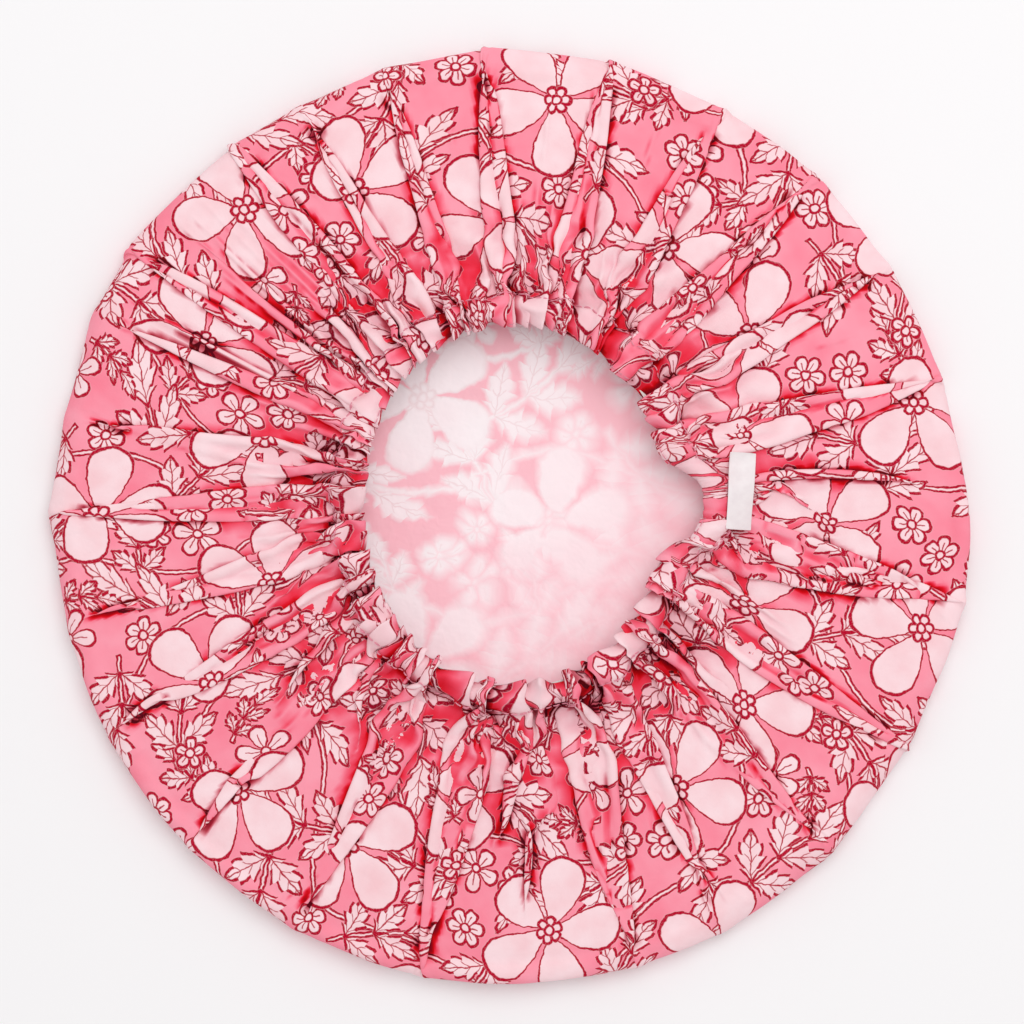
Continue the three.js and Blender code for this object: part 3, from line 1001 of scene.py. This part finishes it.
# The film's colours: the print under it as it shows through the film, painted on, and made lighter as painted light
# against the shade inside the mouth.
FILM_GROUND = srgb(255, 190, 201)
FILM_GROUND_DEEP = srgb(255, 182, 195)
FILM_PETAL = srgb(255, 247, 249)
FILM_HAZE = srgb(255, 205, 214)

# The print: its tile, the width and softness of its lines, how far they wobble, and the threads of the weave.
TILE = (94.0, 86.0)
LINE = 0.85
SOFT = 0.12
WOBBLE = 1.5
THREAD = 0.55
# Where its motifs lie, in the order in which they are stamped. Vines: level, swing and phase. The others: x, y and
# angle, then the size, the number of petals, and how often the motif comes again in a tile where that is not once.
VINES = ((22, 7, 0.5), (66, -8, 2.0))
SPRIGS = (
    (12, 66, 100, 0.9, (2, 1)), (2, 42, 30, 1.35), (46, 80, 160, 1.3), (88, 20, 118, 1.25), (40, 26, -50, 1.15),
    (38, 61, 190, 0.6),
)
ROSETTES = (
    (24, 34, 10), (73, 80, 40), (44, 50, 0, 9.5, 5), (4, 74, 20, 5.2, 5, (2, 1)), (85, 70, 25, 8.0, 5), (83, 4, 0, 6.4),
)
BLOSSOMS = ((18, 6, 12), (68, 46, 40))


class Print:
    """A floral print: motifs stamped over each other, each with its own outline, on a repeating tile."""

    def __init__(self, tree, place, soft):
        self.tree = tree
        self.place = place
        self.soft = soft
        self.fill = 0.0
        self.line = 0.0

    def stamp(self, distance, marks=None):
        cover = distance.under(LINE / 2, self.soft)
        ink = distance.near(LINE, self.soft)
        if marks is not None:
            ink = ink.math("MAXIMUM", marks)
        self.line = ink * cover if self.line == 0.0 else blend_values(self.tree, cover, self.line, ink)
        self.fill = cover if self.fill == 0.0 else cover.math("MAXIMUM", self.fill)

    def at(self, x, y, angle, period=(1, 1)):
        """The place seen from a motif's own middle, in the nearest tile."""
        away = vector_math(self.tree, "SUBTRACT", self.place, (x, y, 0))
        half = (TILE[0] / 2 / period[0], TILE[1] / 2 / period[1], 1)
        wrapped_away = vector_math(self.tree, "WRAP", away, half, tuple(-h for h in half))
        return turned(wrapped_away, -angle * DEG) if angle else wrapped_away

    def polar(self, x, y, angle, period=(1, 1)):
        across, up = split_xy(self.at(x, y, angle, period))
        return length_of(self.tree, across, up), up.math("ARCTAN2", across)

    def petals(self, radius, angle, count, start, reach, narrow, wide):
        """How far a point lies outside a ring of petals that are narrow at the middle and wide at the tip."""
        half = math.pi / count
        turn = angle.math("WRAP", half, -half)
        along = radius * turn.math("COSINE")
        across = radius * turn.math("SINE")
        middle, half_length = (start + reach) / 2, (reach - start) / 2
        slope = (wide - narrow) / (reach - start)
        half_width = along.math("MULTIPLY_ADD", slope, narrow - start * slope)
        along = along.math("MULTIPLY_ADD", 1 / half_length, -middle / half_length)
        out = length_of(self.tree, along, across / half_width.math("MAXIMUM", 0.2))
        return out.math("MULTIPLY_ADD", wide * 0.8, -wide * 0.8), turn

    def blossom(self, x, y, angle, size=24.5, count=5):
        radius, turn = self.polar(x, y, angle)
        distance, _ = self.petals(radius, turn, count, start=2.0, reach=size, narrow=3.2, wide=size * 0.42)
        heart, _ = self.petals(radius, turn + 0.4, 6, start=1.0, reach=4.4, narrow=1.0, wide=1.7)
        for part in (distance, heart, radius - 1.5):
            self.stamp(part)

    def rosette(self, x, y, angle, size=6.2, count=6, period=(1, 1)):
        radius, turn = self.polar(x, y, angle, period)
        distance, near = self.petals(radius, turn, count, start=0.8, reach=size, narrow=1.2, wide=size * 0.42)
        vein = (radius * near.math("SINE")).near(0.4, SOFT) * radius.under(size * 0.7, SOFT)
        self.stamp(distance, vein)
        self.stamp(radius - 1.5)

    def leaf(self, spot, length, width, teeth=4):
        """A toothed leaf from the spot's origin along its x, with a rib and slanting veins."""
        across, up = split_xy(spot)
        side_way = abs(up)
        share = across.ramp(0, length)
        tooth = (share * teeth).math("FRACT")
        half = (share * math.pi).math("SINE") * tooth.math("MULTIPLY_ADD", 0.45 * width, 0.62 * width)
        ends = abs(across - length / 2) - length / 2
        slant = ((across - side_way * 1.2) * (teeth / length)).math("FRACT") - 0.5
        veins = slant.near(0.11, 0.05) * side_way.under(width * 0.45, SOFT)
        self.stamp(((side_way - half) * 0.75).math("MAXIMUM", ends), up.near(0.45, SOFT).math("MAXIMUM", veins))

    def vine(self, level, swing, phase):
        """A thin wavy stem that runs on from tile to tile."""
        across, up = split_xy(self.at(0, level, 0))
        wave = (across * (TURN / TILE[0]) + phase).math("SINE") * swing
        self.stamp(abs(up - wave) - 0.75)

    def sprig(self, x, y, angle, size=1.0, period=(1, 1)):
        """A bent stem with a leaf at its tip and pairs of leaves at its sides."""
        across, up = split_xy(self.at(x, y, angle, period))
        up = up - across * across * (0.010 / size)
        self.stamp((abs(up) - 0.7).math("MAXIMUM", abs(across - 4 * size) - 13 * size))
        folded = join_xy(self.tree, across, abs(up))
        for start, lean, length, width in ((-4, 48, 13, 3.6), (5, 38, 14, 3.6), (14, 0, 15, 4.4)):
            moved = vector_math(self.tree, "SUBTRACT", folded, (start * size, 0, 0))
            self.leaf(turned(moved, -lean * DEG) if lean else moved, length * size, width * size)


def cotton_print(tree, soft=SOFT, ink=1.0, grounds=(GROUND, GROUND_DEEP), petals=(PETAL, PETAL_DEEP)):
    """The print's colour over the flat cut, in millimetres, with the wobble of a hand-printed line."""
    place = attribute(tree, "flat_cut")
    wobble = noise(tree, place, 0.35, output="Color")
    wobble = vector_math(tree, "MULTIPLY_ADD", wobble, (WOBBLE, WOBBLE, 0), (-WOBBLE / 2, -WOBBLE / 2, 0))
    art = Print(tree, vector_math(tree, "ADD", place, wobble), soft)
    for draw, motifs in ((art.vine, VINES), (art.sprig, SPRIGS), (art.rosette, ROSETTES), (art.blossom, BLOSSOMS)):
        for motif in motifs:
            draw(*motif)
    blotch = noise(tree, place, 0.035, 3.0, 0.6).ramp(0.35, 0.7)
    ground = blend_colours(tree, blotch, *grounds)
    petal = blend_colours(tree, noise(tree, place, 0.09).ramp(0.35, 0.75), *petals)
    # Painted shade in the folds: light that is caught in a fold takes on the cloth's colour again with each bounce, and
    # gets less, and the colour is painted so by how deep the fold is.
    shade, edge_shadow = attribute(tree, "fold_shade", "Fac"), attribute(tree, "fold_edge_shadow", "Fac")
    ground = vector_math(tree, "POWER", ground, shade * FOLD_BOUNCES + 1)
    ground = vector_math(tree, "MULTIPLY", ground, 1 - shade * FOLD_LOSS)
    petal = blend_colours(tree, shade, petal, PETAL_IN_SHADE)
    colour = blend_colours(tree, art.fill, ground, petal)
    worn = noise(tree, place, 2.2, 1.0).ramp(0.3, 0.45, 0.85, 1.0)
    outline = blend_colours(tree, shade, OUTLINE, OUTLINE_IN_SHADE)
    colour = blend_colours(tree, art.line * worn * ink, colour, outline)
    # Painted shadow in the slit under a fold's edge: the whole print turns dark crimson there.
    colour = vector_math(tree, "POWER", colour, edge_shadow * EDGE_SHADOW_BOUNCES + 1)
    return blend_colours(tree, edge_shadow * EDGE_SHADOW_SHARE, colour, EDGE_SHADOW), place


def new_material(name):
    material = bpy.data.materials.new(name)
    material.use_nodes = True
    return material, material.node_tree


def finish_material(material, inputs):
    tree = material.node_tree
    wire_from(tree, tree.nodes["Principled BSDF"], inputs)
    return material


def cotton_material():
    material, tree = new_material("printed_cotton")
    colour, place = cotton_print(tree)
    x, y = split_xy(place)
    weave = (x * (TURN / THREAD)).math("SINE") * (y * (TURN / THREAD)).math("SINE")
    crinkle = noise(tree, place, 0.35, 4.0, 0.6)
    return finish_material(material, {
        "Base Color": colour,
        "Normal": bump(tree, weave * 0.04 + crinkle, 0.5 * MM, 0.6),
        "Roughness": noise(tree, place, 0.8).ramp(0.3, 0.7, 0.78, 0.92),
        "Specular IOR Level": 0.1,
    })


def film_material():
    """Frosted film with painted light: the print behind it, as it would show through, is painted into the film's
    colour, and the more blurred the further the film stands off it.
    """
    material, tree = new_material("frosted_film")
    place = attribute(tree, "flat_cut")
    x, y = split_xy(place)
    away = x * 0.75 - y * 0.66 + 45
    soft = away.ramp(0, 105, 0.4, 3.6)
    ink = away.ramp(0, 60, 0.26, 0.0)
    seen, _ = cotton_print(tree, soft, ink, (FILM_GROUND, FILM_GROUND_DEEP), (FILM_PETAL, FILM_PETAL))
    haze = away.ramp(20, 90, 0.1, 0.55) + noise(tree, place, 0.03).ramp(0.3, 0.7, -0.1, 0.2)
    return finish_material(material, {
        "Base Color": blend_colours(tree, haze, seen, FILM_HAZE),
        "Normal": bump(tree, noise(tree, place, 0.10, 3.0), 2.0 * MM, 0.35),
        "Roughness": 0.42,
        "Specular IOR Level": 0.4,
    })


def fibre_material(name, light, dark, scale, detail, depth, roughness):
    """Spun or braided fibres, light and dark ones, with a bump of the same pattern."""
    material, tree = new_material(name)
    fibres = noise(tree, object_place(tree), scale, detail)
    return finish_material(material, {
        "Base Color": blend_colours(tree, fibres, light, dark),
        "Normal": bump(tree, fibres, depth),
        "Roughness": roughness,
    })


def satin_material():
    material, tree = new_material("woven_satin")
    place = object_place(tree)
    x, y = split_xy(place)
    weave = (y * (TURN / (0.35 * MM))).math("SINE") * (x * (TURN / (0.7 * MM))).math("SINE")
    mottle = noise(tree, place, 300.0).ramp(0.3, 0.7)
    return finish_material(material, {
        "Base Color": blend_colours(tree, mottle, srgb(243, 234, 235), srgb(236, 225, 227)),
        "Normal": bump(tree, weave, 0.02 * MM, 0.4),
        "Roughness": 0.45,
        "Sheen Weight": 0.2,
    })


# The label: a satin ribbon folded double, that lies over the side beside the stitches.
LABEL_LENGTH = 25.0
LABEL_WIDTH = 8.3
LABEL_MIDDLE = (77.3, 6.3)
LABEL_TILT = -4.0 * DEG
# How far it is off the cloth, how far its two leaves lie off their middle, and how much closer they are at the fold.
LABEL_LIFT = 0.5
LEAF_LIFT = 0.22
LEAF_CLOSE = 0.3


def cloth_top(spots, near=2.5):
    """How high the cloth comes within a short distance of each spot."""
    points = whole.reshape(-1, 3)
    distances = (np.hypot(points[:, 0] - spot[0], points[:, 1] - spot[1]) for spot in spots)
    return np.array([points[away < near, 2].max() for away in distances])


def make_label(material, across=11, along=29):
    tilt = np.array([[math.cos(LABEL_TILT), math.sin(LABEL_TILT)], [-math.sin(LABEL_TILT), math.cos(LABEL_TILT)]])
    # The outermost rows lie close together, which keeps the corners square when the piece is smoothed.
    v = np.concatenate([[-0.5, -0.492], np.linspace(-0.47, 0.47, along - 4), [0.492, 0.5]])
    us = np.concatenate([[0, 0.03], np.linspace(0.1, 0.9, across - 4), [0.97, 1]])
    tops = []
    for x in (-0.3 * LABEL_WIDTH, 0.3 * LABEL_WIDTH):
        top = cloth_top(np.array([[x, y * LABEL_LENGTH] for y in v]) @ tilt + LABEL_MIDDLE)
        tops.append(np.convolve(np.pad(top, 4, "edge"), np.ones(9) / 9, "valid"))
    inner, outer = tops
    # Out along the upper leaf and back along the lower one.
    leaves = [(u, LEAF_LIFT) for u in us] + [(u, -LEAF_LIFT) for u in us[::-1]]
    rows = []
    for j in range(along):
        flare = 1 + 0.05 * (0.5 - v[j]) + 0.03 * math.sin(v[j] * 5)
        row = []
        for u, leaf in leaves:
            x, y = np.array([(u - 0.5) * LABEL_WIDTH * flare, v[j] * LABEL_LENGTH]) @ tilt + LABEL_MIDDLE
            bow = 0.3 * math.cos(v[j] * 7) + 0.25 * math.sin(u * math.pi)
            cloth_under = max(inner[j], outer[j]) * (1 - u) + outer[j] * u
            row.append((x, y, cloth_under + LABEL_LIFT + bow + leaf * (1 - LEAF_CLOSE * u)))
        rows.append(row)
    label = loft_piece("satin_label", np.array(rows))
    settle(label)
    wear(label, material, "label", ["label"])


PINK = srgb(240, 150, 170)
PINK_DARK = tuple(c * 0.8 for c in PINK[:3]) + (1,)

make_shell(cotton_material())
make_liner(film_material())
make_elastic(fibre_material(
    "braided_elastic", srgb(243, 238, 234), srgb(226, 220, 216), 1500.0, 1.0, 0.2 * MM, roughness=0.8))
make_threads(fibre_material("pink_thread", PINK, PINK_DARK, 2500.0, 2.0, 0.1 * MM, roughness=0.6))
make_label(satin_material())


# The table, the light and the camera, in metres.
TABLE_HALF = 3.0
WORLD_STRENGTH = 0.69
LAMP_SIZE = 1.5
LAMP_WATTS = 12.0
LAMP_PLACE = (0.28, 0.6, 1.6)
CAMERA_HEIGHT = 1.1
CAMERA_SENSOR = 36.0
# The level at which a pixel of the photograph has its size in millimetres, and the middle of the cap's outline.
SCALE_LEVEL = 12.0 * MM
PIXELS = 1024
PIXEL_SIZE = 0.3236
PHOTO_MIDDLE = (503.0, 509.5)


def make_table():
    material, _ = new_material("table_white")
    finish_material(material, {"Base Color": srgb(249, 247, 248), "Roughness": 0.9})
    mesh = bpy.data.meshes.new("table")
    corners = [(x * TABLE_HALF, y * TABLE_HALF, 0) for x, y in ((-1, -1), (1, -1), (1, 1), (-1, 1))]
    mesh.from_pydata(corners, [], [(0, 1, 2, 3)])
    mesh.materials.append(material)
    add_object("table", mesh)


def make_light():
    world = bpy.data.worlds.new("studio")
    bpy.context.scene.world = world
    world.use_nodes = True
    background = world.node_tree.nodes["Background"]
    background.inputs["Color"].default_value = (1.0, 1.0, 1.0, 1)
    background.inputs["Strength"].default_value = WORLD_STRENGTH
    lamp = bpy.data.lights.new("window", "AREA")
    lamp.shape = "DISK"
    lamp.size = LAMP_SIZE
    lamp.energy = LAMP_WATTS
    window = add_object("window", lamp)
    window.location = LAMP_PLACE
    window.rotation_euler = (-window.location).to_track_quat("-Z", "Y").to_euler()


def make_camera():
    """Straight above the cap, so that the photograph's frame fits the cap's upper side."""
    lens = bpy.data.cameras.new("camera")
    lens.sensor_width = CAMERA_SENSOR
    lens.lens = CAMERA_SENSOR * (CAMERA_HEIGHT - SCALE_LEVEL) / (PIXELS * PIXEL_SIZE * MM)
    camera = add_object("camera", lens)
    x = (PIXELS / 2 - PHOTO_MIDDLE[0]) * PIXEL_SIZE * MM
    y = (PHOTO_MIDDLE[1] - PIXELS / 2) * PIXEL_SIZE * MM
    camera.location = (x + PHOTO_SHIFT[0] * MM, y + PHOTO_SHIFT[1] * MM, CAMERA_HEIGHT)
    bpy.context.scene.camera = camera


make_table()
make_light()
make_camera()
bpy.context.scene.view_settings.view_transform = "Standard"
